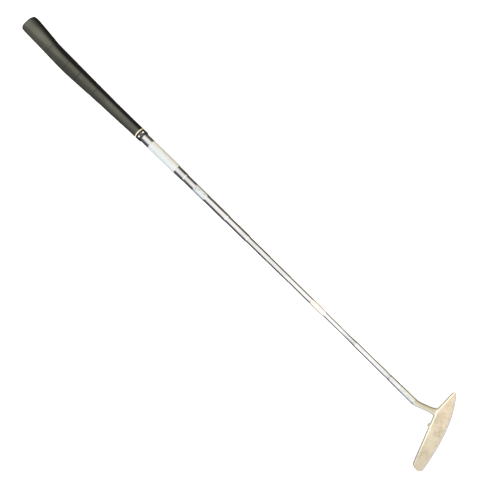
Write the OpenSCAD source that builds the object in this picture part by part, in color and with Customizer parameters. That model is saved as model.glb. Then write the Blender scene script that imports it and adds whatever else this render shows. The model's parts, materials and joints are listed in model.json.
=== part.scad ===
// Golf putter lying face up: bronze blade head on a bent cast neck, stepped steel shaft and a
// pistol-shaped rubber grip. Each part is drawn in club space and then laid on the ground.
//
// Club space: X runs down the shaft axis from the butt of the grip to the head, -Y points to
// the toe, and +Z comes out on the side of the striking face.
// Head space: the origin is the bend of the neck, u points to the toe, v points up from the
// ground to the grip, and w is the depth behind the bend.

/* [Club] */
// Length along the shaft from the butt to the ground
club_length = 884.5; // [865:0.5:912]
// Angle between the shaft and the ground line
lie_angle = 70; // [68:0.5:72]

/* [Head] */
// Length of the blade from the heel tip to the toe
blade_length = 126; // [122:0.5:130]
// Height of the blade at the lowest point of the sole
blade_height = 25; // [23:0.5:27]
// Thickness of the top line
top_thick = 6.5; // [6:0.5:9]
// Depth of the sole from front to back
sole_depth = 17; // [15:0.5:20]
// Lean of the striking face
face_loft = 3; // [1:0.5:4]
// Height of the bend above the top line
neck_height = 36; // [33:1:39]
// Diameter of the neck at its middle
neck_d = 9; // [8.5:0.1:10.2]

/* [Shaft] */
// Diameter of the shaft under the grip
butt_d = 15.24; // [15.1:0.02:15.4]
// Wall thickness of the steel tube
shaft_wall = 0.5; // [0.4:0.05:0.6]
// Distance from the butt to the first step
first_step = 351; // [349:0.5:356]
// Distance between two steps
step_pitch = 44.45; // [43:0.05:46]
// Diameter of the slim neck above the head
flute_d = 7.8; // [7.6:0.1:8.4]
// Diameter of the shaft at its tip
tip_d = 9.5; // [9.3:0.1:9.7]

/* [Grip] */
// Length of the grip with its mouth band
grip_length = 260.5; // [258:0.5:266]
// Widest size of the grip across the striking direction
grip_thick = 25; // [23:0.5:27]

/* [Hidden] */

// Fineness of the true round parts, and of the lofted ones
$fn = 96;
loft_sides = 40;
neck_sides = 24;

// Distance along the shaft from the bend to the ground line
ground_drop = 60.5;
bend_x = club_length - ground_drop;

// Blade outline in head space
heel_u = -36.5;
toe_u = heel_u + blade_length;
mid_u = (heel_u + toe_u) / 2;
top_v = -neck_height;
low_v = top_v - blade_height;
low_u = 14;
heel_break_u = 0;
heel_slope = 0.324;
heel_camber_r = 155;
toe_camber_r = 317;
toe_cut_u = toe_u - 6.5;
toe_cut_slope = 0.8;
heel_round = 4;
toe_round = 3.6;

// Blade section
face_setback = 3;
edge_r = 0.8;
flange_height = 9;
flange_flat = 35;
flange_taper = 7;
flange_share = 0.25;
sole_corner = 1.8;
ledge_r = 2;

// Sight nub on the top line
nub_u = 22.5;
nub_d = 4.8;
nub_height = 3.2;
nub_slot = 1.2;
nub_slot_depth = 1.4;

// Neck and post
post_d = 7.9;
post_length = 50;
post_chamfer = 0.8;
collar_d = 10.3;
neck_sink = 4;
root_flare_u = 7.8;
bend_length = 4;
neck_rings = 18;

// Sleeve between the neck and the tip of the shaft
sleeve_length = 27.6;
sleeve_d = 10.3;
sleeve_waist = 0.15;
bond = 0.2;

// Shaft stations
step_count = 7;
step_taper = 1.4;
shoulder_x = 330.5;
shoulder_d = 14;
step_ds = [12.9, 12.4, 11.4, 10.3, 9.7, 9.1, 8.8];
last_step = first_step + step_pitch * (step_count - 1);
band_length = 26;
flute_start = last_step + band_length;
flute_end = flute_start + 34;
upper_tip_d = 8.8;
lower_tip_d = 9.2;
tip_x = bend_x - sleeve_length;
bond_top_x = bend_x - post_length;

// Bands and labels round the shaft
label_thick = 0.13;
price_label_x = 276.5;
price_label_length = 56;
shaft_label_x = first_step + 20.5;
shaft_label_length = 22.5;
band_bulge = 0.45;
band_edge = 0.1;

// Grip
cap_recess = 1;
cap_length = 4;
cap_end_x = cap_recess + cap_length;
vent_d = 3;
tape_thick = 0.15;
tape_start_x = cap_end_x + 1;
tape_end_x = grip_length - 2;
mouth_length = 9;
mouth_x = grip_length - mouth_length;
mouth_d = 18;
mouth_end_d = 17;
ring_width = 1.7;
ring_height = 0.3;
ring_sink = 0.5;
dot_d = 2.8;
dot_spread = 4.4;
dot_height = 0.15;
dot_depth = 1;
cap_rim = 4;
grip_rest_x = 12;

// Grip sections: place, reach to the toe side, reach to the heel side, share of the
// thickness, and squareness of the toe side, where 2 is round
grip_stations = [
    [0, 9.5, 13.4, 0.78, 2.7],
    [0.6, 11, 15, 0.88, 2.8],
    [1.6, 11.9, 15.9, 0.95, 2.9],
    [4, 12.4, 16.4, 0.99, 2.9],
    [8, 12.5, 16.4, 1, 3],
    [22, 12.8, 15.2, 0.995, 3.1],
    [39, 13.2, 13.6, 0.985, 3.1],
    [52, 13.7, 12.2, 0.975, 3.1],
    [65, 14.1, 10.9, 0.96, 3.1],
    [78, 14.5, 9.8, 0.95, 3.1],
    [94, 14.7, 9, 0.935, 3.1],
    [116, 14.1, 8.8, 0.91, 3],
    [142, 12.9, 8.8, 0.88, 2.9],
    [168, 11.7, 8.9, 0.85, 2.7],
    [200, 10.7, 8.9, 0.8, 2.5],
    [226, 9.8, 8.9, 0.76, 2.2],
    [240, 9.3, 9, 0.725, 2],
    [249.5, 9, 9, 0.72, 2]
];
grip_table_length = 249.5;

// ---- placing ----

function club_point(u, v, w) = [
    bend_x + u * cos(lie_angle) - v * sin(lie_angle),
    -u * sin(lie_angle) - v * cos(lie_angle),
    -w
];

// The club rests on the upper edge of the flange and on the back of the grip's butt.
ledge_v = low_v + flange_height - edge_r;
rest_depth = face_depth(ledge_v) + sole_depth;
head_rest_x = club_point(mid_u, ledge_v, 0)[0];
rest_pitch = asin((rest_depth - grip_thick / 2) / (head_rest_x - grip_rest_x));
lift = grip_thick / 2 * cos(rest_pitch) - grip_rest_x * sin(rest_pitch);

// Middle of the club's outline on the ground
far_u = toe_u - 10;
mid_x = club_point(far_u, sole_v(far_u), 0)[0] / 2;
toe_y = club_point(toe_u, (top_v + low_v) / 2, 0)[1];
heel_y = club_point(heel_u, (top_v + low_v) / 2, 0)[1];
mid_y = (toe_y + heel_y) / 2;

module lying() {
    translate([-mid_x, -mid_y, lift]) rotate([0, -rest_pitch, 0]) children();
}

module along_shaft(x) {
    translate([x, 0, 0]) rotate([0, 90, 0]) children();
}

module head_space() {
    translate([bend_x, 0, 0]) rotate([180, 0, -lie_angle]) children();
}

// ---- shape helpers ----

// Solid skinned over closed rings, each turning anticlockwise about the way they advance
module skin(rings) {
    n = len(rings[0]);
    last = len(rings) - 1;
    sides = [
        for (i = [0:last - 1], j = [0:n - 1])
            each [
                [i * n + (j + 1) % n, i * n + j, (i + 1) * n + j],
                [(i + 1) * n + (j + 1) % n, i * n + (j + 1) % n, (i + 1) * n + j]
            ]
    ];
    start = [for (j = [0:n - 1]) j];
    end = [for (j = [n - 1:-1:0]) last * n + j];
    polyhedron(points = [for (ring = rings) each ring], faces = concat([start], sides, [end]));
}

// Round tube about the shaft axis, with its ends at x0 and x1
module sleeve(x0, x1, outer_d, inner_d) {
    along_shaft(x0) difference() {
        cylinder(d = outer_d, h = x1 - x0);
        translate([0, 0, -1]) cylinder(d = inner_d, h = x1 - x0 + 2);
    }
}

// Body turned about the shaft axis from a profile of [x, radius] points
module turned(profile) {
    rotate([0, 90, 0]) rotate_extrude() polygon([for (p = profile) [p[1], p[0]]]);
}

// ---- head ----

function camber_r(u) = u < low_u ? heel_camber_r : toe_camber_r;
function sole_v(u) = low_v + pow(u - low_u, 2) / (2 * camber_r(u));
function top_line_v(u) =
    u < heel_break_u ? top_v - heel_slope * (heel_break_u - u)
    : u > toe_cut_u ? top_v - toe_cut_slope * (u - toe_cut_u)
    : top_v;
function face_depth(v) = face_setback + tan(face_loft) * (v - top_v);

// Share of the full section that is left near the rounded heel and toe
function end_share(gap, r) = gap >= r ? 1 : max(0.3, sqrt(1 - pow(1 - gap / r, 2)));
function blade_share(u) = end_share(u - heel_u, heel_round) * end_share(toe_u - u, toe_round);

function flange_depth(u) =
    sole_depth - flange_taper * pow(max(0, abs(u - mid_u) - flange_flat) / 30, 2);

// Blade section at u, from the top of the face over the back to the sole
function blade_ring(u) =
    let (
        share = blade_share(u),
        middle = (top_line_v(u) + sole_v(u)) / 2,
        top = middle + (top_line_v(u) - middle) * share,
        sole = middle + (sole_v(u) - middle) * share,
        height = top - sole,
        e = min(edge_r, height / 8),
        corner = min(sole_corner, height / 5),
        thick = top_thick * (0.6 + 0.4 * share),
        depth = max(flange_depth(u) * (0.6 + 0.4 * share), thick + e),
        ledge = max(low_v + flange_height, sole + flange_share * height),
        root = min(ledge_r, (top - ledge) / 4),
        step = (depth - thick) / 3,
        f = face_depth(top)
    )
    [
        for (p = [
            [top - e, 0, 1],
            [top - 0.3 * e, 0.3 * e, 0],
            [top, e, 0],
            [top, thick - e, 0],
            [top - 0.3 * e, thick - 0.3 * e, 0],
            [top - e, thick, 1],
            [ledge + root, thick, 1],
            [ledge + 0.3 * root, thick + 0.3 * step, 1],
            [ledge, thick + step, 1],
            [ledge, depth - e, 1],
            [ledge - e, depth, 1],
            [sole + corner, depth, 1],
            [sole + 0.35 * corner, depth - 0.5 * corner, 1],
            [sole + 0.08 * corner, 0.75 * depth, 1],
            [sole, 0.5 * depth, 1],
            [sole + 0.08 * corner, 0.25 * depth, 1],
            [sole + 0.35 * corner, 0.5 * corner, 1],
            [sole + corner, 0, 1]
        ])
            [u, p[0], p[1] + (p[2] == 1 ? face_depth(p[0]) : f)]
    ];

blade_step = 6;
blade_us = concat(
    [for (k = [0:4]) heel_u + heel_round * k / 5],
    [for (u = [heel_u + heel_round:blade_step:toe_cut_u - 2]) u],
    [toe_cut_u, (toe_cut_u + toe_u - toe_round) / 2],
    [for (k = [0:4]) toe_u - toe_round * (1 - k / 4)]
);

// Centre line of the neck at a distance d below the bend: it turns off the shaft's line within
// a short bend, then runs straight down while it eases back to the middle of the top line
neck_root_w = face_depth(top_v) + top_thick / 2;
bend_offset = bend_length / tan(lie_angle);
function ease(t) = t * t * (3 - 2 * t);
function neck_point(d) = [
    bend_offset * (1 - exp(-d / bend_length)),
    -d,
    neck_root_w * ease(min(1, d / neck_height))
];
function neck_axis(d) =
    let (a = neck_point(d + 0.1) - neck_point(d - 0.1))
    a / norm(a);

// Half widths of the neck: round at the collar, slimmer at the middle, flared along the top line
function neck_half_u(t) =
    neck_d / 2 + (collar_d - neck_d) / 2 * pow(1 - t, 4)
    + (root_flare_u - neck_d / 2) * pow(max(0, t - 0.6) / 0.4, 2.5);
function neck_half_w(t) =
    neck_d / 2 + (collar_d - neck_d) / 2 * pow(1 - t, 4)
    - (neck_d / 2 - top_thick / 2 + edge_r / 2) * pow(t, 2);

function neck_ring(t) =
    let (
        d = t * (neck_height + neck_sink),
        axis = neck_axis(d),
        side = cross(axis, [0, 0, 1]) / norm(cross(axis, [0, 0, 1])),
        back = cross(axis, side)
    )
    [
        for (j = [0:neck_sides - 1])
            let (a = 360 * j / neck_sides)
            neck_point(d) + neck_half_u(t) * cos(a) * side + neck_half_w(t) * sin(a) * back
    ];

// Rings lie close together in the bend and wider apart below it
neck_ts = [for (k = [0:neck_rings]) pow(k / neck_rings, 1.6)];

module sight_nub() {
    w = face_depth(top_v) + top_thick / 2;
    translate([nub_u, top_v, w]) rotate([-90, 0, 0]) difference() {
        union() {
            translate([0, 0, -1]) cylinder(d = nub_d, h = nub_height + 1 - edge_r, $fn = 40);
            translate([0, 0, nub_height - edge_r])
                cylinder(d1 = nub_d, d2 = nub_d - 2 * edge_r, h = edge_r, $fn = 40);
        }
        translate([-nub_slot / 2, -nub_d, nub_height - nub_slot_depth])
            cube([nub_slot, 2 * nub_d, nub_slot_depth + 1]);
    }
}

module putter_head() {
    color("#d8c79c") lying() {
        head_space() {
            skin([for (u = blade_us) blade_ring(u)]);
            skin([for (t = neck_ts) neck_ring(t)]);
            sight_nub();
        }
        along_shaft(bond_top_x) {
            cylinder(d1 = post_d - 2 * post_chamfer, d2 = post_d, h = post_chamfer);
            translate([0, 0, post_chamfer]) cylinder(d = post_d, h = post_length);
        }
    }
}

// ---- hosel ----

module hosel_sleeve() {
    waist = sleeve_d / 2 - sleeve_waist;
    color("#cfd3d2") lying() turned([
        [tip_x, post_d / 2],
        [tip_x, sleeve_d / 2 - edge_r / 2],
        [tip_x + edge_r / 2, sleeve_d / 2],
        [tip_x + edge_r * 2, waist],
        [bend_x - edge_r, waist],
        [bend_x - edge_r / 2, sleeve_d / 2],
        [bend_x, sleeve_d / 2],
        [bend_x, post_d / 2]
    ]);
}

module hosel_epoxy() {
    color("#b9a77c") lying() sleeve(bond_top_x + post_chamfer, tip_x, post_d + 2 * bond, post_d);
}

// ---- shaft ----

// Outside of the tube as [x, diameter] points
shaft_outside = concat(
    [
        [cap_end_x, butt_d],
        [shoulder_x, butt_d],
        [shoulder_x + step_taper, shoulder_d],
        [first_step - step_taper, shoulder_d]
    ],
    [
        for (k = [0:step_count - 2])
            each [
                [first_step + k * step_pitch, step_ds[k]],
                [first_step + (k + 1) * step_pitch - step_taper, step_ds[k]]
            ]
    ],
    [
        [last_step, step_ds[step_count - 1]],
        [flute_start, step_ds[step_count - 1]],
        [flute_start + step_taper, flute_d],
        [flute_end, flute_d],
        [flute_end + 28, upper_tip_d],
        [flute_end + 65, upper_tip_d],
        [flute_end + 80, lower_tip_d],
        [tip_x, tip_d]
    ]
);

// The bore follows the outside down to the bond, where it opens to take the post
bore_d = post_d + 2 * bond;
shaft_inside = concat(
    [for (p = shaft_outside) if (p[0] < bond_top_x - 6) [p[0], p[1] / 2 - shaft_wall]],
    [[bond_top_x - 4, lower_tip_d / 2 - shaft_wall], [bond_top_x, bore_d / 2], [tip_x, bore_d / 2]]
);

module shaft() {
    color("#c9c9c6") lying() turned(concat(
        [for (p = shaft_outside) [p[0], p[1] / 2]],
        [for (i = [len(shaft_inside) - 1:-1:0]) shaft_inside[i]]
    ));
}

// ---- bands and labels ----

module neck_band() {
    inner = step_ds[step_count - 1] / 2;
    color("#d9c98e") lying() turned([
        [last_step, inner],
        [last_step, inner + band_edge],
        [last_step + band_length * 0.2, inner + band_bulge * 0.85],
        [last_step + band_length * 0.4, inner + band_bulge],
        [last_step + band_length * 0.7, inner + band_bulge * 0.8],
        [flute_start, inner + band_edge],
        [flute_start, inner]
    ]);
}

module shaft_label() {
    d = step_ds[0];
    color("#f2f1ea") lying()
        sleeve(shaft_label_x, shaft_label_x + shaft_label_length, d + 2 * label_thick, d);
}

module price_label() {
    color("#f7f5ee") lying() sleeve(
        price_label_x, price_label_x + price_label_length - 0.5, butt_d + 2 * label_thick, butt_d
    );
}

// ---- grip ----

// Ring of a grip section, shrunk by inset, at its place along the grip
function grip_ring(s, x, inset) = [
    for (j = [0:loft_sides - 1])
        let (
            a = 360 * j / loft_sides,
            toe_side = cos(a) < 0,
            power = toe_side ? 2 / s[4] : 1,
            half_y = (toe_side ? s[1] : s[2]) - inset,
            half_z = s[3] * grip_thick / 2 - inset
        )
        [
            x,
            sign(cos(a)) * pow(abs(cos(a)), power) * half_y,
            sign(sin(a)) * pow(abs(sin(a)), power) * half_z
        ]
];

bore_in_grip = butt_d + 2 * tape_thick;

module grip_body() {
    reach = mouth_x / grip_table_length;
    pocket = grip_stations[3];
    color("#4c4d45") lying() difference() {
        skin([for (s = grip_stations) grip_ring(s, s[0] * reach, 0)]);
        skin([grip_ring(pocket, -1, cap_rim), grip_ring(pocket, cap_end_x, cap_rim)]);
        along_shaft(0) cylinder(d = bore_in_grip, h = grip_length);
        sleeve(mouth_x - ring_width, grip_length, mouth_d + 4, mouth_d - 2 * ring_sink);
    }
}

module grip_cap() {
    pocket = grip_stations[3];
    color("#5d5e55") lying() difference() {
        skin([grip_ring(pocket, cap_recess, cap_rim), grip_ring(pocket, cap_end_x, cap_rim)]);
        along_shaft(0) cylinder(d = vent_d, h = cap_end_x + 1);
    }
}

module grip_tape() {
    color("#cbbd9b") lying() sleeve(tape_start_x, tape_end_x, bore_in_grip, butt_d);
}

module trim_ring() {
    color("#e3d3a0") lying()
        sleeve(mouth_x - ring_width, mouth_x, mouth_d + 2 * ring_height, mouth_d - 2 * ring_sink);
}

// Outer shape of the glossy band at the mouth of the grip, grown by extra
module mouth_shape(extra) {
    along_shaft(mouth_x) {
        cylinder(d1 = mouth_d + 2 * extra, d2 = mouth_end_d + 1 + 2 * extra, h = mouth_length - 1);
        translate([0, 0, mouth_length - 1])
            cylinder(d1 = mouth_end_d + 1 + 2 * extra, d2 = mouth_end_d, h = 1);
    }
}

module dot_pins() {
    for (side = [-1, 1])
        translate([mouth_x + mouth_length / 2, side * dot_spread, bore_in_grip / 2 - dot_depth])
            cylinder(d = dot_d, h = mouth_d / 2);
}

// Everything nearer the shaft axis than the seats of the dots
module dot_seats() {
    along_shaft(0) cylinder(d = mouth_end_d - 0.4, h = grip_length + 1);
}

module mouth_band() {
    color("#141414") lying() difference() {
        mouth_shape(0);
        along_shaft(0) cylinder(d = bore_in_grip, h = grip_length + 1);
        difference() {
            dot_pins();
            dot_seats();
        }
    }
}

module band_dots() {
    color("#f4f3ea") lying() difference() {
        intersection() {
            mouth_shape(dot_height);
            dot_pins();
        }
        dot_seats();
    }
}

putter_head();
hosel_sleeve();
hosel_epoxy();
shaft();
neck_band();
shaft_label();
price_label();
grip_body();
grip_cap();
grip_tape();
trim_ring();
mouth_band();
band_dots();
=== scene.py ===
"""A golf putter lying face up on a pale floor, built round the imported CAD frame.

Club space is in metres: x runs down the shaft axis from the butt of the grip, y points to the
heel of the head, and z comes out on the side of the striking face. Head space starts at the
bend of the neck: u points to the toe, v up towards the grip, and w is the depth behind it.
"""
import json
import math

import bmesh
import bpy
import numpy as np
from mathutils import Matrix, Vector


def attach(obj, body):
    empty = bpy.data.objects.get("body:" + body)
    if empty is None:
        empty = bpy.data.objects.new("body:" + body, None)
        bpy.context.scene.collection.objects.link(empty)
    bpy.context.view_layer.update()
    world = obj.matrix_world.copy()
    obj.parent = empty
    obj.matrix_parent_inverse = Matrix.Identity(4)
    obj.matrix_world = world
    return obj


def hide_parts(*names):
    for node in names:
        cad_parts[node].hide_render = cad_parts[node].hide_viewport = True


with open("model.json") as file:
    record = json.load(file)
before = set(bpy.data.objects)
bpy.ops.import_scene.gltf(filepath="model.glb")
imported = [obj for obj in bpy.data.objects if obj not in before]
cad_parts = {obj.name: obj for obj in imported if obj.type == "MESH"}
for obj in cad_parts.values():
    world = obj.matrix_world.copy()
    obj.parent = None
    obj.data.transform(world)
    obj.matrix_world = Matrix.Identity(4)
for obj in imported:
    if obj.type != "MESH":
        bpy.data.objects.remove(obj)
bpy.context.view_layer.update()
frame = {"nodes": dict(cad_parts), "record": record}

MM = 0.001
TAU = 2 * math.pi

# ---- club space, from the frame's own mounts ----

# Distance from the butt to the middle of the vent hole's wall
VENT_DEPTH = 3 * MM


def mount(name):
    return next(m for m in frame["record"]["mounts"] if m["name"] == name)


SHAFT_WAY = -Vector(mount("cap_vent")["axis"]).normalized()
HEEL_WAY = Vector((0, 0, 1)).cross(SHAFT_WAY).normalized()
FACE_WAY = SHAFT_WAY.cross(HEEL_WAY)
BUTT = Vector(mount("cap_vent")["pos_m"]) - VENT_DEPTH * SHAFT_WAY
AXES = np.array([SHAFT_WAY, HEEL_WAY, FACE_WAY])


def to_frame(points):
    """Club-space points as points of the CAD frame."""
    return np.asarray(points, float) @ AXES + np.array(BUTT)


def cad_points(node):
    """The vertices of a CAD node, in club space."""
    data = frame["nodes"][node].data
    co = np.array([v.co for v in data.vertices], float)
    return (co - np.array(BUTT)) @ AXES.T


def turned_profile(node):
    """The [x, radius] outline of a CAD node turned about the shaft axis: outer and inner."""
    p = cad_points(node)
    x = np.round(p[:, 0], 5)
    r = np.hypot(p[:, 1], p[:, 2])
    stations = sorted(set(x))
    outer = [[s, r[np.abs(x - s) < 2e-5].max()] for s in stations]
    inner = [[s, r[np.abs(x - s) < 2e-5].min()] for s in stations]
    return np.array(outer), np.array(inner)


def span(node):
    """Where a CAD node starts and ends along the shaft axis."""
    x = cad_points(node)[:, 0]
    return x.min(), x.max()


# ---- mesh helpers ----

def new_object(name, points, faces):
    """A mesh object from club-space points, with its faces turned outwards."""
    mesh = bpy.data.meshes.new(name)
    mesh.from_pydata(to_frame(points).tolist(), [], [list(map(int, f)) for f in faces])
    bm = bmesh.new()
    bm.from_mesh(mesh)
    bmesh.ops.recalc_face_normals(bm, faces=bm.faces)
    bm.to_mesh(mesh)
    bm.free()
    for poly in mesh.polygons:
        poly.use_smooth = True
    piece = bpy.data.objects.new(name, mesh)
    bpy.context.scene.collection.objects.link(piece)
    return piece


def grid_faces(rows, cols, wrap_rows=False, wrap_cols=True, start=0):
    """Quads over rows of points; each row closes on itself when wrap_cols is set."""
    faces = []
    for i in range(rows if wrap_rows else rows - 1):
        for j in range(cols if wrap_cols else cols - 1):
            k = (j + 1) % cols
            n = (i + 1) % rows
            faces.append((start + i * cols + j, start + i * cols + k,
                          start + n * cols + k, start + n * cols + j))
    return faces


# Distance of a point that holds a long stretch straight, in corner radii
HOLD = 2.2


def soften(outline, radius, steps=3):
    """Rounds the corners of a closed [x, radius] outline, and holds its long stretches straight."""
    pts = [np.array(p, float) for p in outline]
    n = len(pts)
    out = []
    for i, p in enumerate(pts):
        a, b = pts[i - 1] - p, pts[(i + 1) % n] - p
        la, lb = np.linalg.norm(a), np.linalg.norm(b)
        if la < 1e-7 or lb < 1e-7:
            continue
        a, b = a / la, b / lb
        if np.dot(a, b) < -0.99999:
            out.append(p)
            continue
        cut = min(radius, 0.4 * la, 0.4 * lb)
        if la > 6 * cut:
            out.append(p + a * cut * HOLD)
        for k in range(steps + 1):
            t = k / steps
            out.append(p + a * cut * (1 - t) ** 2 + b * cut * t ** 2)
        if lb > 6 * cut:
            out.append(p + b * cut * HOLD)
    return np.array(out)


LATHE_SIDES = 96


def lathe(name, outline, sides=LATHE_SIDES):
    """A ring-shaped solid turned about the shaft axis from a closed [x, radius] outline."""
    outline = np.asarray(outline)
    angle = np.arange(sides) * TAU / sides
    rows = len(outline)
    x = np.repeat(outline[:, :1], sides, axis=1)
    r = outline[:, 1:2]
    points = np.stack([x, r * np.cos(angle), r * np.sin(angle)], axis=2).reshape(-1, 3)
    return new_object(name, points, grid_faces(rows, sides, wrap_rows=True))


def ring_outline(outer, inner):
    """A closed outline out of an outer and an inner profile."""
    return np.vstack([outer, inner[::-1]])


def settle(piece, node_slot, *nodes):
    """Hangs a piece on the one body and hides the CAD nodes that it stands for."""
    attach(piece, "root")
    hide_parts(*nodes)
    return piece


# ---- material helpers ----

FRONT = (0, 0, 1)


def feed(tree, value, socket):
    """Gives a socket another node's output, or a fixed value."""
    if hasattr(value, "links"):
        tree.links.new(value, socket)
    else:
        socket.default_value = value


class Nodes:
    """Short calls for the nodes of one tree."""

    def __init__(self, tree):
        self.tree = tree

    def node(self, kind, **values):
        made = self.tree.nodes.new(kind)
        for key, value in values.items():
            setattr(made, key, value)
        return made

    def link(self, source, target):
        self.tree.links.new(source, target)

    def math(self, kind, a, b=0.0):
        made = self.node("ShaderNodeMath", operation=kind)
        feed(self.tree, a, made.inputs[0])
        feed(self.tree, b, made.inputs[1])
        return made.outputs[0]

    def product(self, first, *others):
        for other in others:
            first = self.math("MULTIPLY", first, other)
        return first

    def ramp(self, source, low, high, out_low=0.0, out_high=1.0):
        """Maps source from low..high to out_low..out_high, eased and held at the ends."""
        made = self.node("ShaderNodeMapRange", clamp=True, interpolation_type="SMOOTHSTEP")
        self.link(source, made.inputs["Value"])
        made.inputs["From Min"].default_value = low
        made.inputs["From Max"].default_value = high
        made.inputs["To Min"].default_value = out_low
        made.inputs["To Max"].default_value = out_high
        return made.outputs["Result"]

    def mix(self, share, first, second):
        """A colour between first and second."""
        made = self.node("ShaderNodeMix", data_type="RGBA")
        feed(self.tree, share, made.inputs[0])
        for socket, value in zip((made.inputs[6], made.inputs[7]), (first, second)):
            feed(self.tree, value if hasattr(value, "links") else (*value, 1), socket)
        return made.outputs[2]


class Shader(Nodes):
    """A Principled material with short calls for its texture nodes."""

    def __init__(self, name, **fixed):
        self.mat = bpy.data.materials.new(name)
        self.mat.use_nodes = True
        super().__init__(self.mat.node_tree)
        self.bsdf = self.tree.nodes["Principled BSDF"]
        for key, value in fixed.items():
            self.bsdf.inputs[key.replace("_", " ")].default_value = value

    def club(self, scale=(1, 1, 1)):
        """Club-space coordinates in metres, scaled along each axis."""
        coord = self.node("ShaderNodeTexCoord")
        place = self.node("ShaderNodeMapping", vector_type="POINT")
        turn = Matrix([SHAFT_WAY, HEEL_WAY, FACE_WAY])
        place.inputs["Rotation"].default_value = turn.to_euler()
        place.inputs["Location"].default_value = -(turn @ BUTT)
        self.link(coord.outputs["Object"], place.inputs["Vector"])
        stretch = self.node("ShaderNodeVectorMath", operation="MULTIPLY")
        stretch.inputs[1].default_value = scale
        self.link(place.outputs[0], stretch.inputs[0])
        return stretch.outputs[0]

    def noise(self, scale, detail=4, rough=0.55, stretch=(1, 1, 1), distort=0.0):
        tex = self.node("ShaderNodeTexNoise")
        tex.inputs["Scale"].default_value = scale
        tex.inputs["Detail"].default_value = detail
        tex.inputs["Roughness"].default_value = rough
        tex.inputs["Distortion"].default_value = distort
        self.link(self.club(stretch), tex.inputs["Vector"])
        return tex.outputs["Fac"]

    def cells(self, scale):
        tex = self.node("ShaderNodeTexVoronoi", feature="F1")
        tex.inputs["Scale"].default_value = scale
        self.link(self.club(), tex.inputs["Vector"])
        return tex.outputs["Distance"]

    def axis(self, name):
        made = self.node("ShaderNodeSeparateXYZ")
        self.link(self.club(), made.inputs[0])
        return made.outputs[name]

    def head_axes(self):
        """The u and v of head space, in metres."""
        c, w = math.cos(LIE), math.sin(LIE)
        found = []
        for way, start in (((c, -w, 0), BEND_X * c), ((-w, -c, 0), -BEND_X * w)):
            made = self.node("ShaderNodeVectorMath", operation="DOT_PRODUCT")
            made.inputs[1].default_value = way
            self.link(self.club(), made.inputs[0])
            found.append(self.math("SUBTRACT", made.outputs["Value"], start))
        return found

    def distance(self, pair, point):
        """How far a pair of coordinates is from a point."""
        a, b = (self.math("POWER", self.math("SUBTRACT", value, number), 2)
                for value, number in zip(pair, point))
        return self.math("SQRT", self.math("ADD", a, b))

    def facing(self, way):
        """How far the surface faces a way given in club space: 1 straight, 0 square to it."""
        coord = self.node("ShaderNodeTexCoord")
        made = self.node("ShaderNodeVectorMath", operation="DOT_PRODUCT")
        made.inputs[1].default_value = Vector(np.array(way) @ AXES).normalized()
        self.link(coord.outputs["Normal"], made.inputs[0])
        return made.outputs["Value"]

    def colour(self, value):
        value = value if hasattr(value, "links") else (*value, 1)
        feed(self.tree, value, self.bsdf.inputs["Base Color"])

    def rough(self, value):
        self.link(value, self.bsdf.inputs["Roughness"])

    def bump(self, *heights):
        """Stacks (height, distance in metres) pairs into the surface normal."""
        last = None
        for height, distance in heights:
            made = self.node("ShaderNodeBump")
            made.inputs["Strength"].default_value = 1.0
            made.inputs["Distance"].default_value = distance
            self.link(height, made.inputs["Height"])
            if last is not None:
                self.link(last, made.inputs["Normal"])
            last = made.outputs["Normal"]
        self.link(last, self.bsdf.inputs["Normal"])

    def on(self, piece):
        piece.data.materials.clear()
        piece.data.materials.append(self.mat)
        return piece


# ---- materials ----

# Colours, as linear red, green and blue
BRONZE_DARK = (0.50, 0.43, 0.30)
BRONZE_LIGHT = (0.66, 0.58, 0.435)
BRONZE_PALE = (0.74, 0.68, 0.55)
BRONZE_SPOT = (0.44, 0.36, 0.24)
BRONZE_HEEL = (0.86, 0.68, 0.50)
BRONZE_TOE = (0.40, 0.36, 0.27)
BRONZE_ARC = (0.74, 0.36, 0.26)
BRONZE_EDGE_HIGHLIGHT = (0.95, 0.94, 0.76)
SOLE_EDGE_REFLECTION = (0.52, 0.51, 0.54)
NECK_BRONZE = (0.54, 0.52, 0.38)
NECK_TOE_REFLECTION = (0.80, 0.80, 0.80)
CHROME_BRIGHT = (0.84, 0.83, 0.82)
CHROME_HAZE = (0.72, 0.72, 0.72)
CHROME_SPECK = (0.28, 0.26, 0.24)
SLEEVE_BRIGHT = (0.72, 0.71, 0.64)
SLEEVE_HAZE = (0.62, 0.62, 0.57)
SLEEVE_SKY_REFLECTION = (0.56, 0.64, 0.70)
GRIP_SHADED = (0.006, 0.0055, 0.0045)
GRIP_LIT = (0.108, 0.108, 0.087)
GROOVE_SHADE = (0.012, 0.012, 0.011)
CAP_SHADED = (0.03, 0.031, 0.026)
CAP_LIT = (0.13, 0.13, 0.108)
PAPER_COOL_LIT = (0.52, 0.555, 0.575)
PAPER_WARM_LIT_AND_AGED = (0.64, 0.62, 0.54)
PRICE_INK = (0.33, 0.33, 0.31)
PRICE_EDGE_SHADE = (0.30, 0.27, 0.24)
LABEL_INK = (0.14, 0.18, 0.19)
LABEL_EDGE_SHADE = (0.22, 0.24, 0.24)
GOLD_PALE = (0.93, 0.91, 0.84)
GOLD_DEEP = (0.88, 0.81, 0.64)
GOLD_PAINTED_SHADE = (0.52, 0.38, 0.19)
EPOXY_LIGHT = (0.62, 0.46, 0.22)
EPOXY_DEEP = (0.48, 0.34, 0.14)
CREAM = (0.86, 0.77, 0.54)
CREAM_SHADE = (0.78, 0.67, 0.42)
BLACK = (0.016, 0.015, 0.014)
BLACK_SHADE = (0.03, 0.03, 0.028)
BAND_MARK = (0.62, 0.60, 0.54)
WHITE = (0.88, 0.87, 0.82)
WHITE_SHADE = (0.80, 0.78, 0.70)
TAPE = (0.70, 0.62, 0.46)
TAPE_SHADE = (0.60, 0.52, 0.36)

# Centre, radius and reach of the faint reddish arc on the face, in head space
STAIN_AT = (-7.2 * MM, -47.4 * MM)
STAIN_R = 9.7 * MM
STAIN_LINE = (0.15 * MM, 0.8 * MM)
STAIN_REACH = (4.8 * MM, 6.4 * MM)


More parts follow.
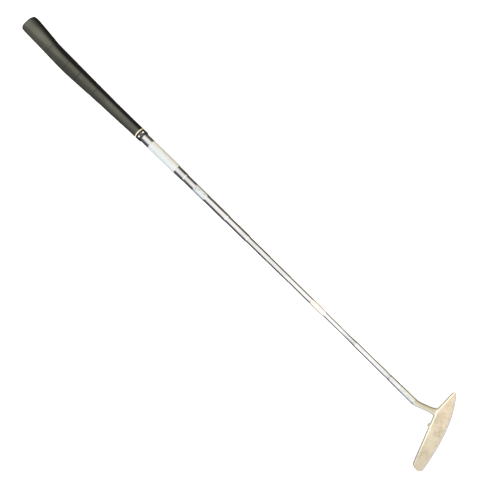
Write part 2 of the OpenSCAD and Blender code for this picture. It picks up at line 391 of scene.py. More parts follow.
def bronze_body(s, u):
    """Mottled bronze, paler and redder towards the heel and darker towards the toe."""
    broad = s.ramp(s.noise(75, 5, 0.6, distort=0.6), 0.36, 0.66)
    mottle = s.ramp(s.noise(260, 6, 0.65), 0.42, 0.6)
    spots = s.ramp(s.noise(800, 3, 0.5), 0.58, 0.72)
    base = s.mix(broad, BRONZE_DARK, BRONZE_LIGHT)
    base = s.mix(s.product(mottle, 0.45), base, BRONZE_PALE)
    base = s.mix(s.product(spots, 0.4), base, BRONZE_SPOT)
    toward_heel = s.ramp(s.product(u, -1), -35 * MM, 35 * MM)
    base = s.mix(s.product(toward_heel, 0.3), base, BRONZE_HEEL)
    return s.mix(s.ramp(u, 35 * MM, 85 * MM, 0, 0.4), base, BRONZE_TOE)


def stain_mask(s, u, v):
    """The short arc on the striking face."""
    on_face = s.ramp(s.facing(FRONT), 0.9, 0.97)
    off_line = s.math("ABSOLUTE", s.math("SUBTRACT", s.distance((u, v), STAIN_AT), STAIN_R))
    arc = s.ramp(off_line, *STAIN_LINE, 1, 0)
    arc_middle = (STAIN_AT[0] + STAIN_R, STAIN_AT[1])
    near = s.ramp(s.distance((u, v), arc_middle), *STAIN_REACH, 1, 0)
    return s.product(arc, near, on_face)


def top_edge_highlight_mask(s, u, v):
    """The bright edge along the top line, rubbed bright and with a painted highlight, without the
    nub and the back.
    """
    heel_fall = s.product(s.math("MINIMUM", u, 0), HEEL_SLOPE)
    below_top = s.math("SUBTRACT", s.math("ADD", heel_fall, TOP_V), v)
    line = s.ramp(below_top, 1.5 * MM, 2.9 * MM, 1, 0)
    toward_toe = s.ramp(u, 35 * MM, 80 * MM, 1, 0.25)
    in_view = s.ramp(s.facing(FRONT), 0.2, 0.6)
    below_nub = s.ramp(below_top, -0.9 * MM, -0.2 * MM)
    return s.product(line, toward_toe, in_view, below_nub)


def sole_edge_reflection_mask(s, u, v):
    """A painted grey reflection along the rounded sole edge, as seen from the front."""
    from_low = s.math("POWER", s.math("SUBTRACT", u, LOW_U), 2)
    bend = s.ramp(u, LOW_U - MM, LOW_U + MM, 0.5 / HEEL_CAMBER_R, 0.5 / TOE_CAMBER_R)
    above_sole = s.math("SUBTRACT", s.math("SUBTRACT", v, LOW_V), s.product(from_low, bend))
    in_view = s.ramp(s.facing(FRONT), 0.05, 0.35)
    return s.product(s.ramp(above_sole, 2.3 * MM, 3.3 * MM, 1, 0), in_view)


def bronze():
    s = Shader("worn_bronze")
    u, v = s.head_axes()
    base = bronze_body(s, u)
    base = s.mix(s.product(stain_mask(s, u, v), 0.7), base, BRONZE_ARC)
    # painted highlight along the rubbed top edge of the face
    base = s.mix(s.product(top_edge_highlight_mask(s, u, v), 0.9), base, BRONZE_EDGE_HIGHLIGHT)
    # painted grey reflection along the sole edge
    base = s.mix(s.product(sole_edge_reflection_mask(s, u, v), 0.9), base, SOLE_EDGE_REFLECTION)
    neck = s.ramp(v, TOP_V - MM, TOP_V + 5 * MM)
    # painted reflection: the neck turns pale on its side that faces the toe
    toe_side = s.ramp(s.facing((0, -1, 0.35)), 0.35, 0.9)
    neck_look = s.mix(toe_side, NECK_BRONZE, NECK_TOE_REFLECTION)
    s.colour(s.mix(s.product(neck, 0.85), base, neck_look))
    s.link(s.ramp(s.facing(FRONT), 0.1, 0.75, 0.45, 0.8), s.bsdf.inputs["Metallic"])
    s.rough(s.ramp(s.noise(260, 5, 0.6), 0.3, 0.7, 0.32, 0.52))
    grain = s.noise(700, 4, 0.6, stretch=(1, 3.2, 1))
    pits = s.ramp(s.cells(420), 0.0, 0.22)
    s.bump((grain, 0.08 * MM), (pits, 0.05 * MM), (s.noise(90, 3), 0.3 * MM))
    return s


def chrome():
    s = Shader("shaft_chrome", Metallic=1.0)
    haze = s.ramp(s.noise(60, 4, 0.6, stretch=(0.4, 1, 1)), 0.35, 0.7)
    base = s.mix(haze, CHROME_BRIGHT, CHROME_HAZE)
    specks = s.ramp(s.noise(1500, 2, 0.5), 0.7, 0.78)
    s.colour(s.mix(s.product(specks, 0.4), base, CHROME_SPECK))
    s.rough(s.ramp(s.noise(140, 5, 0.65, stretch=(0.3, 1, 1)), 0.3, 0.75, 0.12, 0.26))
    scratches = s.noise(1800, 3, 0.6, stretch=(0.03, 1, 1))
    s.bump((scratches, 0.012 * MM), (s.noise(120, 2), 0.03 * MM))
    return s


def sleeve_steel():
    s = Shader("sleeve_steel", Metallic=0.7)
    haze = s.ramp(s.noise(200, 4), 0.35, 0.7)
    base = s.mix(haze, SLEEVE_BRIGHT, SLEEVE_HAZE)
    # painted reflection of a cool sky on the side that faces the toe
    s.colour(s.mix(s.ramp(s.facing((0, -1, 0.3)), 0.3, 0.9), base, SLEEVE_SKY_REFLECTION))
    s.rough(s.ramp(s.noise(500, 4), 0.3, 0.7, 0.2, 0.34))
    turned = s.noise(2600, 3, 0.6, stretch=(1, 0.03, 0.03))
    s.bump((turned, 0.02 * MM))
    return s


def lit_stripe_with_dust(s):
    """A broad painted lit stripe down the front of the grip, with dust in it, narrower towards the
    head; off it the rubber is in painted shade.
    """
    x, y = s.axis("X"), s.axis("Y")
    dust = s.ramp(s.noise(45, 5, 0.6, distort=0.4), 0.35, 0.7)
    reach = s.ramp(x, 6 * MM, 92 * MM, 22 * MM, 8 * MM)
    # painted shade towards the heel side and at the toe edge, painted light on the front
    heel_side = s.ramp(s.math("DIVIDE", y, reach), 0.1, 0.62, 1, 0)
    toe_side = s.ramp(y, -8 * MM, -1 * MM, 0.4, 1)
    front = s.ramp(s.facing(FRONT), -0.2, 0.35)
    dusty = s.math("ADD", 0.8, s.product(dust, 0.2))
    toward_head = s.ramp(x, 30 * MM, 90 * MM, 1, 0.74)
    return s.product(heel_side, toe_side, front, dusty, toward_head)


def rubber(name, dark, light, lines=()):
    """Dull rubber, lit by a painted stripe down its front and in painted shade off it, with painted
    shade in its crossing grooves.
    """
    s = Shader(name, Specular_IOR_Level=0.2)
    fine = s.ramp(s.noise(1400, 4, 0.6), 0.45, 0.7)
    lit_share = lit_stripe_with_dust(s)
    # painted lit stripe over rubber in painted shade
    base = s.mix(lit_share, dark, light)
    base = s.mix(s.product(fine, s.product(lit_share, 0.3)), base, tuple(1.6 * c for c in light))
    # painted shade in each cross groove
    for place in lines:
        gap = s.math("ABSOLUTE", s.math("SUBTRACT", s.axis("X"), place))
        base = s.mix(s.ramp(gap, 0.3 * MM, 1.0 * MM, 0.5, 0), base, GROOVE_SHADE)
    s.colour(base)
    s.rough(s.ramp(s.noise(160, 4), 0.3, 0.7, 0.62, 0.8))
    s.bump((s.noise(2600, 3, 0.6), 0.08 * MM), (s.noise(350, 3), 0.08 * MM))
    return s


def moulded(name, colour, shade, rough_low, rough_high):
    s = Shader(name)
    s.colour(s.mix(s.ramp(s.noise(500, 4), 0.35, 0.7), colour, shade))
    s.rough(s.ramp(s.noise(320, 4), 0.3, 0.7, rough_low, rough_high))
    s.bump((s.noise(1200, 3), 0.02 * MM), (s.noise(200, 2), 0.03 * MM))
    return s


def within(s, value, middle, length):
    """A mask of the points that lie within length / 2 of a middle."""
    return s.math("LESS_THAN", s.math("ABSOLUTE", s.math("SUBTRACT", value, middle)), length / 2)


def label_marks(s, start, lines):
    """A mask of small plain bars, standing for print: lines are (offset, length, y, height)."""
    x, y = s.axis("X"), s.axis("Y")
    broken = s.ramp(s.noise(1500, 1, 0.4, stretch=(1, 0.3, 0.3)), 0.44, 0.5)
    bars = [s.product(within(s, x, start + offset, length), within(s, y, middle, height))
            for offset, length, middle, height in lines]
    total = bars[0]
    for bar in bars[1:]:
        total = s.math("MAXIMUM", total, bar)
    return s.product(total, broken)


def paper(name, ink, start, lines, ink_share, edge, edge_range):
    """Label paper with plain marks and a cloudy aged tone, tinted by painted light, cool towards
    the toe and warm towards the heel, and in painted shade where it turns away from the front.
    """
    s = Shader(name, Specular_IOR_Level=0.3)
    # painted light tint: cool towards the toe, warm towards the heel
    warm_lit_side = s.ramp(s.axis("Y"), -3 * MM, 6 * MM)
    cloud = s.ramp(s.noise(130, 4), 0.3, 0.7)
    base = s.mix(s.product(warm_lit_side, 0.8), PAPER_COOL_LIT, PAPER_WARM_LIT_AND_AGED)
    base = s.mix(s.product(cloud, 0.25), base, PAPER_WARM_LIT_AND_AGED)
    # painted shade where the label turns away from the front
    base = s.mix(s.ramp(s.facing(FRONT), *edge_range, 1, 0), base, edge)
    s.colour(s.mix(s.product(label_marks(s, start, lines), ink_share), base, ink))
    s.rough(s.ramp(s.noise(400, 4), 0.3, 0.7, 0.5, 0.7))
    s.bump((s.noise(2200, 3, 0.6), 0.02 * MM), (s.noise(150, 2), 0.1 * MM))
    return s


def gold_film():
    s = Shader("gold_film", Metallic=0.35, Coat_Weight=0.5, Coat_Roughness=0.18)
    age = s.ramp(s.noise(150, 5, 0.6, distort=0.5), 0.35, 0.68)
    base = s.mix(age, GOLD_PALE, GOLD_DEEP)
    # painted shade where the band turns away from the front
    s.colour(s.mix(s.ramp(s.facing(FRONT), 0.35, 0.8, 1, 0), base, GOLD_PAINTED_SHADE))
    s.rough(s.ramp(s.noise(300, 4), 0.3, 0.7, 0.22, 0.42))
    s.bump((s.noise(420, 3, stretch=(0.4, 1, 1)), 0.06 * MM))
    return s


def epoxy():
    s = Shader("amber_epoxy", Transmission_Weight=0.4, IOR=1.5)
    s.colour(s.mix(s.ramp(s.noise(400, 4), 0.3, 0.7), EPOXY_LIGHT, EPOXY_DEEP))
    s.rough(s.ramp(s.noise(600, 3), 0.3, 0.7, 0.2, 0.4))
    s.bump((s.noise(900, 3), 0.04 * MM))
    return s


# ---- shaft and its bands ----

SHAFT_CORNER = 0.35 * MM
SLEEVE_CORNER = 0.25 * MM
BAND_CORNER = 1.2 * MM


def build_shaft():
    outer, inner = turned_profile("shaft")
    outline = soften(ring_outline(outer, inner), SHAFT_CORNER)
    return settle(chrome().on(lathe("shaft_tube", outline)), "shaft_chrome", "shaft")


def build_sleeve():
    outer, inner = turned_profile("hosel_sleeve")
    outline = soften(ring_outline(outer, inner), SLEEVE_CORNER)
    piece = lathe("hosel_collar", outline)
    return settle(sleeve_steel().on(piece), "sleeve_steel", "hosel_sleeve")


def build_neck_band():
    outer, inner = turned_profile("neck_band")
    outline = soften(ring_outline(outer, inner), BAND_CORNER, steps=4)
    piece = lathe("gold_neck_band", outline)
    return settle(gold_film().on(piece), "gold_film", "neck_band")


# ---- wrapped labels ----

WRAP_ROWS = 40
WRAP_COLS = 150
SHEET = 0.05 * MM
SHEET_GAP = 0.01 * MM
# Angles, in radians: how far the sheet laps over itself, and where it climbs to do so
WRAP_OVERLAP = 0.5
WRAP_CLIMB = 0.25
CLIMB_SHARE = 0.8

# Plain bars that stand for print: offset along the shaft, length, place across it, height
PRICE_MARKS = ((10 * MM, 12 * MM, 2.5 * MM, 0.5 * MM), (12 * MM, 16 * MM, 1.0 * MM, 0.4 * MM),
               (33 * MM, 14 * MM, 3.2 * MM, 0.5 * MM), (41 * MM, 10 * MM, 1.2 * MM, 0.4 * MM))
SHAFT_MARKS = ((2.6 * MM, 2.6 * MM, -0.6 * MM, 8 * MM), (6.0 * MM, 1.2 * MM, 1.0 * MM, 5.4 * MM),
               (8.6 * MM, 1.1 * MM, 1.6 * MM, 3.2 * MM), (18.5 * MM, 2.6 * MM, 1.6 * MM, 1.2 * MM))


def rim_faces(rows, cols):
    """Quads that join the edges of two equal open grids, one stored after the other."""
    count = rows * cols
    edges = [(i * cols + j, i * cols + j + 1) for j in range(cols - 1) for i in (0, rows - 1)]
    edges += [(i * cols + j, (i + 1) * cols + j) for i in range(rows - 1) for j in (0, cols - 1)]
    return [(a, b, count + b, count + a) for a, b in edges]


def wrapped(name, node, seam, ripple):
    """A sheet wrapped once round the shaft, with its free edge lying over its first edge."""
    x0, x1 = span(node)
    outer, inner = turned_profile(node)
    low, high = inner[:, 1].min(), outer[:, 1].max()
    rows, cols = WRAP_ROWS, WRAP_COLS
    turn = TAU + WRAP_OVERLAP
    points = []
    for side in (0, 1):
        for i in range(rows):
            x = x0 + (x1 - x0) * i / (rows - 1)
            for j in range(cols):
                t = j / (cols - 1)
                a = seam + turn * t
                lap = min(1.0, max(0.0, (turn * t - TAU + WRAP_CLIMB) / WRAP_CLIMB))
                wave = 0.5 + 0.5 * math.sin(9 * t + 90 * i / rows) * math.sin(5 * a + i)
                r = low + SHEET_GAP + lap * (high - low - SHEET) * CLIMB_SHARE
                r = min(high, r + ripple * wave * (1 - lap) + side * SHEET)
                points.append((x, r * math.cos(a), r * math.sin(a)))
    faces = grid_faces(rows, cols, wrap_cols=False)
    faces += grid_faces(rows, cols, wrap_cols=False, start=rows * cols)
    return new_object(name, points, faces + rim_faces(rows, cols))


def build_price_label():
    start = span("price_label")[0]
    look = paper("label_paper", PRICE_INK, start, PRICE_MARKS, 0.45, PRICE_EDGE_SHADE, (0.1, 0.5))
    label = wrapped("price_label_wrap", "price_label", -1.9, 0.02 * MM)
    settle(look.on(label), "label_paper", "price_label")


def build_shaft_label():
    start = span("shaft_label")[0]
    look = paper("label_film", LABEL_INK, start, SHAFT_MARKS, 0.85, LABEL_EDGE_SHADE, (0.55, 0.96))
    label = wrapped("shaft_label_wrap", "shaft_label", -2.2, 0.01 * MM)
    settle(look.on(label), "label_film", "shaft_label")


# ---- grip ----

# Points round the CAD design's rings, and round the finer rings here
GRIP_SIDES = 40
GRIP_FINE = 112
GRIP_INSET = 0.04 * MM
# Places of the rings that round the butt, and the lip where the rubber turns in
BUTT_RINGS = [x * MM for x in (0, 0.15, 0.35, 0.7, 1.1, 1.8, 2.8, 4, 5.5, 7.5, 10, 12)]
LIP = 0.3 * MM
CAP_RIM_R = 3 * MM
BORE_WALL = 0.4 * MM
RIB_PITCH = 2.0 * MM
RIB_DEPTH = 0.2 * MM
RIB_STEPS = 6
RIB_START = 14 * MM
RIB_END_GAP = 6 * MM
RIB_FADE = 6 * MM
CROSS_LINES = (58.5 * MM, 95.5 * MM, 121.5 * MM, 157.5 * MM)
CROSS_DEPTH = 0.4 * MM
CROSS_WIDTH = 0.6 * MM
# Across and out of the grip cap: share of the way out from the vent, and depth in millimetres
CAP_PROFILE = ((1.0, 4.0), (1.0, 0.5), (0.985, 0.2), (0.96, 0.04), (0.92, 0.0), (0.85, 0.0),
               (0.8, 0.12), (0.77, 0.3), (0.74, 0.3), (0.7, 0.12), (0.65, 0.05), (0.5, 0.0),
               (0.35, 0.0), (0.2, 0.05), (0.06, 0.1), (0.0, 0.3), (0.0, 4.0))


def unit_circle(count):
    angle = np.arange(count) * TAU / count
    return np.stack([np.cos(angle), np.sin(angle)], axis=1)


def cad_rings(node, least_radius, hole=None):
    """The CAD rings of a lofted node, as (x, ring of [y, z]) in order along the shaft.

    Points on the outline of hole, a ring of [y, z], are left out.
    """
    p = cad_points(node)
    p = p[np.hypot(p[:, 1], p[:, 2]) > least_radius]
    if hole is not None:
        gap = np.linalg.norm(p[:, None, 1:] - hole[None], axis=2).min(axis=1)
        p = p[(gap > 0.05 * MM) | (p[:, 0] > 2 * VENT_DEPTH)]
    rings = []
    for x in sorted(set(np.round(p[:, 0], 5))):
        ring = p[np.abs(p[:, 0] - x) < 2e-5]
        around = np.arctan2(ring[:, 2], ring[:, 1]) % TAU
        around[around > TAU - 1e-4] = 0
        order = np.argsort(around)
        ring = ring[order][:, 1:]
        keep = [0]
        for k in range(1, len(ring)):
            if np.linalg.norm(ring[k] - ring[keep[-1]]) > 1e-5:
                keep.append(k)
        if len(keep) == GRIP_SIDES:
            rings.append((x, ring[keep]))
    return rings


def smooth_ring(ring, count):
    """A closed ring of [y, z] points with more points on the same smooth curve."""
    n = len(ring)
    out = []
    for k in range(count):
        t = k * n / count
        i, f = int(t), t - int(t)
        a, b, c, d = (ring[(i + o) % n] for o in (-1, 0, 1, 2))
        out.append(0.5 * (2 * b + (c - a) * f + (2 * a - 5 * b + 4 * c - d) * f ** 2
                          + (3 * b - a - 3 * c + d) * f ** 3))
    return np.array(out)


def along_rings(rings, xs):
    """Rings at the places xs, on smooth curves through the given rings."""
    places = np.array([r[0] for r in rings])
    shapes = np.array([r[1] for r in rings])
    gaps = np.diff(places)
    slopes = np.diff(shapes, axis=0) / gaps[:, None, None]
    tangent = np.empty_like(shapes)
    tangent[0], tangent[-1] = slopes[0], slopes[-1]
    g0, g1 = gaps[:-1, None, None], gaps[1:, None, None]
    tangent[1:-1] = (slopes[:-1] * g1 + slopes[1:] * g0) / (g0 + g1)
    out = []
    for x in xs:
        i = int(np.clip(np.searchsorted(places, x, side="right") - 1, 0, len(gaps) - 1))
        h = gaps[i]
        t = min(1.0, max(0.0, (x - places[i]) / h))
        out.append((2 * t ** 3 - 3 * t ** 2 + 1) * shapes[i] + (3 * t ** 2 - 2 * t ** 3)
                   * shapes[i + 1] + (t ** 3 - 2 * t ** 2 + t) * h * tangent[i]
                   + (t ** 3 - t ** 2) * h * tangent[i + 1])
    return np.array(out)


def rib_dip(x, end):
    """Depth of the ribbing at x, in metres."""
    fade = min(1.0, max(0.0, (x - RIB_START) / RIB_FADE), max(0.0, (end - RIB_END_GAP - x) / MM))
    dip = RIB_DEPTH * (0.5 + 0.5 * math.cos(TAU * x / RIB_PITCH)) ** 3 * fade
    for line in CROSS_LINES:
        dip += CROSS_DEPTH * math.exp(-((x - line) / CROSS_WIDTH) ** 2)
    return dip


def outer_rows(rings, end):
    """The outer surface of the grip as (x, ring) rows, with its ribs and cross grooves."""
    xs = list(BUTT_RINGS)
    xs += list(np.arange(RIB_START, end - 0.2 * MM, RIB_PITCH / RIB_STEPS))
    xs.append(end)
    rows = []
    for x, shape in zip(xs, along_rings(rings, xs)):
        ring = smooth_ring(shape, GRIP_FINE)
        middle = ring.mean(axis=0)
        out = ring - middle
        size = np.linalg.norm(out, axis=1, keepdims=True)
        flat_side = 0.45 + 0.55 * (1 - np.clip(out[:, :1] / size, -0.2, 1)) / 1.2
        inset = GRIP_INSET + rib_dip(x, end) * flat_side
        rows.append((x, middle + out * (1 - inset / size)))
    return rows


def build_grip():
    bore = turned_profile("grip_tape")[0][:, 1].max()
    pocket = cad_rings("grip_cap", CAP_RIM_R)[0][1]
    end = span("trim_ring")[0]
    cap_x = span("grip_cap")[0]
    outside = outer_rows(cad_rings("grip_body", bore + BORE_WALL, pocket), end)
    rim = outside[0][1]
    cap_ring = smooth_ring(pocket, GRIP_FINE)
    rows = [(cap_x + 2 * MM, cap_ring), (cap_x * 0.5, cap_ring),
            (LIP * 0.5, cap_ring + (rim - cap_ring) * 0.12),
            (0, cap_ring + (rim - cap_ring) * 0.3)] + outside
    rows.append((end, unit_circle(GRIP_FINE) * bore))
    points = [(x, y, z) for x, ring in rows for y, z in ring]
    faces = grid_faces(len(rows), GRIP_FINE, wrap_rows=True)
    grip = new_object("pistol_grip", points, faces)
    look = rubber("grip_rubber", GRIP_SHADED, GRIP_LIT, CROSS_LINES)
    settle(look.on(grip), "grip_rubber", "grip_body")


def build_grip_cap():
    x0, x1 = span("grip_cap")
    ring = smooth_ring(cad_rings("grip_cap", CAP_RIM_R)[0][1], GRIP_FINE)
    vent = cad_points("grip_cap")
    inner = unit_circle(GRIP_FINE) * np.hypot(vent[:, 1], vent[:, 2]).min()
    points = []
    for share, depth in CAP_PROFILE:
        x = min(x0 + depth * MM, x1)
        points += [(x, y, z) for y, z in inner + (ring - inner) * share]
    faces = grid_faces(len(CAP_PROFILE), GRIP_FINE, wrap_rows=True)
    cap = new_object("grip_end_cap", points, faces)
    look = rubber("cap_rubber", CAP_SHADED, CAP_LIT)
    settle(look.on(cap), "cap_rubber", "grip_cap")


# ---- mouth of the grip ----

BAND_SIDES = 128
# A fine groove beside the band's first edge: distance from it and depth
BAND_GROOVE = ((0.7 * MM, 0.02 * MM), (0.9 * MM, 0.22 * MM), (1.1 * MM, 0.03 * MM))
BAND_MARKS = ((4.2 * MM, 1.0 * MM, 0.2 * MM, 4.6 * MM), (6.4 * MM, 0.7 * MM, 0.2 * MM, 3.4 * MM))
DOT_RINGS = 9
DOT_SIDES = 40
DOT_DOME = 0.12 * MM
DOT_SINK = 0.5 * MM


def build_trim_ring():
    outer, inner = turned_profile("trim_ring")
    ring = lathe("trim_ring_cream", soften(ring_outline(outer, inner), 0.5 * MM, steps=5))
    look = moulded("cream_plastic", CREAM, CREAM_SHADE, 0.3, 0.45)
    settle(look.on(ring), "cream_plastic", "trim_ring")


def band_outer():
    """Outer [x, radius] outline of the mouth band, without the seats of its dots."""
    p = cad_points("mouth_band")
    r = np.hypot(p[:, 1], p[:, 2])
    x0, x1 = span("mouth_band")
    return np.array([[x, r[np.abs(p[:, 0] - x) < 5e-5].max()] for x in (x0, x1 - MM, x1)])


def build_mouth_band():
    x0, x1 = span("mouth_band")
    outer = band_outer().tolist()
    low = turned_profile("grip_tape")[0][:, 1].max()
    groove = [[x0 + ahead, outer[0][1] - depth] for ahead, depth in BAND_GROOVE]
    outline = outer[:1] + groove + outer[1:] + [[x1, low], [x0, low]]
    band = lathe("mouth_band_gloss", soften(outline, 0.3 * MM), sides=BAND_SIDES)
    look = moulded("black_plastic", BLACK, BLACK_SHADE, 0.14, 0.26)
    marks = look.product(label_marks(look, x0, BAND_MARKS), 0.55)
    plain = look.bsdf.inputs["Base Color"].links[0].from_socket
    look.colour(look.mix(marks, plain, BAND_MARK))
    settle(look.on(band), "black_plastic", "mouth_band")


def dot_points(mine, outer):
    """Rings of points over one dot, domed on the band's curve, with a last ring sunk in it."""
    x_mid = (mine[:, 0].min() + mine[:, 0].max()) / 2
    y_mid = (mine[:, 1].min() + mine[:, 1].max()) / 2
    radius = (mine[:, 0].max() - mine[:, 0].min()) / 2
    points = []
    for k in range(DOT_RINGS + 1):
        share = min(1.0, (k + 0.15) / (DOT_RINGS - 1 + 0.15))
        dome = DOT_DOME * math.sqrt(max(0.0, 1 - share ** 2)) if k < DOT_RINGS else -DOT_SINK
        for across, along in unit_circle(DOT_SIDES) * radius * share:
            x, y = x_mid + across, y_mid + along
            r = np.interp(x, outer[:, 0], outer[:, 1])
            points.append((x, y, math.sqrt(r ** 2 - y ** 2) + dome))
    return points


def build_dots():
    """Two domed discs that follow the curve of the mouth band."""
    p = cad_points("band_dots")
    outer = band_outer()
    points, faces = [], []
    for side in (-1, 1):
        start = len(points)
        last = start + DOT_RINGS * DOT_SIDES
        points += dot_points(p[p[:, 1] * side > 0], outer)
        faces += grid_faces(DOT_RINGS + 1, DOT_SIDES, start=start)
        faces.append(tuple(range(start, start + DOT_SIDES)))
        faces.append(tuple(range(last, last + DOT_SIDES)))
    dots = new_object("band_dot_pair", points, faces)
    look = moulded("white_plastic", WHITE, WHITE_SHADE, 0.3, 0.45)
    settle(look.on(dots), "white_plastic", "band_dots")


# ---- head ----

# Driving sizes of the blade and neck, as in the CAD design
LIE = math.radians(70)
HEEL_U = -36.5 * MM
BLADE_LENGTH = 126 * MM
BLADE_HEIGHT = 25 * MM
TOP_THICK = 6.5 * MM
SOLE_DEPTH = 17 * MM
LOFT = math.radians(3)
NECK_HEIGHT = 36 * MM
NECK_D = 9 * MM
COLLAR_D = 10.3 * MM
FACE_SETBACK = 3 * MM
LOW_U = 14 * MM
HEEL_BREAK_U = 0.0
HEEL_SLOPE = 0.324
HEEL_CAMBER_R = 155 * MM
TOE_CAMBER_R = 317 * MM
TOE_CUT = 6.5 * MM
TOE_CUT_SLOPE = 0.8
HEEL_ROUND = 4 * MM
TOE_ROUND = 3.6 * MM
EDGE_R = 1.1 * MM
FLANGE_HEIGHT = 9 * MM
FLANGE_FLAT = 35 * MM
FLANGE_TAPER = 7 * MM
SOLE_CORNER = 1.8 * MM
LEDGE_R = 2 * MM
NUB_U = 22.5 * MM
NUB_D = 4.8 * MM
NUB_HEIGHT = 3.2 * MM
NUB_SIDES = 16
# Height in millimetres and size of each ring of the nub, which starts inside the blade
NUB_STAGES = ((-1.5, 1), (0, 1), (NUB_HEIGHT / MM - 0.9, 1), (NUB_HEIGHT / MM - 0.4, 0.92),
              (NUB_HEIGHT / MM, 0.72))
SLOT_HALF = 0.45 * MM
# Half width and depth of the bridge below the slot, and where it starts and ends
BRIDGE_HALF = 1.2 * MM
BRIDGE_DEPTH = 1.8 * MM
BRIDGE_V = (-1 * MM, 1.6 * MM)
NECK_SINK = 4 * MM
ROOT_FLARE_U = 7.8 * MM
BEND_LENGTH = 4 * MM
POST_CHAMFER = 0.8 * MM
POST_SINK = 2 * MM
POST_SIDES = 48
NECK_SIDES = 48
NECK_RINGS = 49
VOXEL = 0.32 * MM

TOE_U = HEEL_U + BLADE_LENGTH
MID_U = (HEEL_U + TOE_U) / 2
TOP_V = -NECK_HEIGHT
LOW_V = TOP_V - BLADE_HEIGHT
BEND_X = span("hosel_sleeve")[1]
POST_D = 2 * turned_profile("hosel_sleeve")[1][:, 1].min()
POST_TOP = span("hosel_epoxy")[0]


def head_to_club(p):
    """Head-space points [u, v, w] as club-space points."""
    p = np.asarray(p, float)
    c, s = math.cos(LIE), math.sin(LIE)
    return np.stack([BEND_X + p[..., 0] * c - p[..., 1] * s,
                     -p[..., 0] * s - p[..., 1] * c, -p[..., 2]], axis=-1)


def face_depth(v):
    return FACE_SETBACK + math.tan(LOFT) * (v - TOP_V)


def top_line(u):
    if u < HEEL_BREAK_U:
        return TOP_V - HEEL_SLOPE * (HEEL_BREAK_U - u)
    return TOP_V - TOE_CUT_SLOPE * max(0.0, u - (TOE_U - TOE_CUT))


def sole_line(u):
    return LOW_V + (u - LOW_U) ** 2 / (2 * (HEEL_CAMBER_R if u < LOW_U else TOE_CAMBER_R))


def end_share(gap, radius):
    if gap >= radius:
        return 1.0
    return max(0.3, math.sqrt(max(0.0, 1 - (1 - gap / radius) ** 2)))


def blade_ring(u):
    """Closed section of the blade at u: face, top line, back, flange and sole."""
    share = end_share(u - HEEL_U, HEEL_ROUND) * end_share(TOE_U - u, TOE_ROUND)
    middle = (top_line(u) + sole_line(u)) / 2
    top = middle + (top_line(u) - middle) * share
    sole = middle + (sole_line(u) - middle) * share
    height = top - sole
    e = min(EDGE_R, height / 8)
    corner = min(SOLE_CORNER, height / 5)
    thick = TOP_THICK * (0.6 + 0.4 * share)
    flange = SOLE_DEPTH - FLANGE_TAPER * (max(0.0, abs(u - MID_U) - FLANGE_FLAT) / (30 * MM)) ** 2
    depth = max(flange * (0.6 + 0.4 * share), thick + e)
    ledge = max(LOW_V + FLANGE_HEIGHT, sole + 0.25 * height)
    root = min(LEDGE_R, (top - ledge) / 4)
    step = (depth - thick) / 3
    ring = [(top - e, 0), (top - 0.3 * e, 0.3 * e), (top, e), (top, thick - e),
            (top - 0.3 * e, thick - 0.3 * e), (top - e, thick), (ledge + root, thick),
            (ledge + 0.3 * root, thick + 0.3 * step), (ledge, thick + step),
            (ledge, depth - e), (ledge - 0.3 * e, depth - 0.3 * e), (ledge - e, depth),
            (sole + corner, depth), (sole + 0.35 * corner, depth - 0.5 * corner)]
    for k in range(1, 10):
        t = k / 10
        ring.append((sole + 0.35 * corner * (2 * t - 1) ** 2,
                     depth - 0.5 * corner - t * (depth - corner)))
    ring += [(sole + 0.35 * corner, 0.5 * corner), (sole + corner, 0)]
    return [(u, v, w + face_depth(min(v, top - e))) for v, w in ring]


def neck_point(d):
    root = face_depth(TOP_V) + TOP_THICK / 2
    t = min(1.0, max(0.0, d / NECK_HEIGHT))
    offset = BEND_LENGTH / math.tan(LIE)
    return np.array([offset * (1 - math.exp(-d / BEND_LENGTH)), -d, root * t * t * (3 - 2 * t)])


def neck_ring(t, sides):
    d = t * (NECK_HEIGHT + NECK_SINK)
    axis = neck_point(d + 0.1 * MM) - neck_point(d - 0.1 * MM)
    axis /= np.linalg.norm(axis)
    side = np.cross(axis, (0, 0, 1))
    side /= np.linalg.norm(side)
    back = np.cross(axis, side)
    waist = NECK_D / 2 + (COLLAR_D - NECK_D) / 2 * (1 - t) ** 4
    half_u = waist + (ROOT_FLARE_U - NECK_D / 2) * (max(0.0, t - 0.6) / 0.4) ** 2.5
    half_w = waist - (NECK_D / 2 - TOP_THICK / 2 + EDGE_R / 2) * t ** 2
    angles = np.arange(sides) * TAU / sides
    return [neck_point(d) + half_u * math.cos(a) * side + half_w * math.sin(a) * back
            for a in angles]


def loft(rings):
    """Points and faces of a closed solid over rings of equal length."""
    n = len(rings[0])
    points = [p for ring in rings for p in ring]
    faces = grid_faces(len(rings), n)
    faces.append(tuple(range(n)))
    faces.append(tuple((len(rings) - 1) * n + j for j in range(n)))
    return points, faces


def nub_rings(slot_side):
    """Half of the sight nub on one side of its slot."""
    mid_w = face_depth(TOP_V) + TOP_THICK / 2
    rings = []
    for v, size in NUB_STAGES:
        ring = []
        for k in range(NUB_SIDES):
            a = math.pi * k / (NUB_SIDES - 1) - math.pi / 2
            reach = SLOT_HALF + max(0.0, (NUB_D / 2 - SLOT_HALF) * math.cos(a)) * size
            ring.append((NUB_U + slot_side * reach, TOP_V + v * MM,
                         mid_w + NUB_D / 2 * size * math.sin(a)))
        rings.append(ring)
    return rings


def nub_bridge():
    """The floor of the slot, which joins the two halves of the nub."""
    mid_w = face_depth(TOP_V) + TOP_THICK / 2
    low, high = BRIDGE_V
    corners = ((low, -1), (high, -1), (high, 1), (low, 1))
    return [[(NUB_U + x, TOP_V + v, mid_w + w * BRIDGE_DEPTH) for v, w in corners]
            for x in (-BRIDGE_HALF, BRIDGE_HALF)]


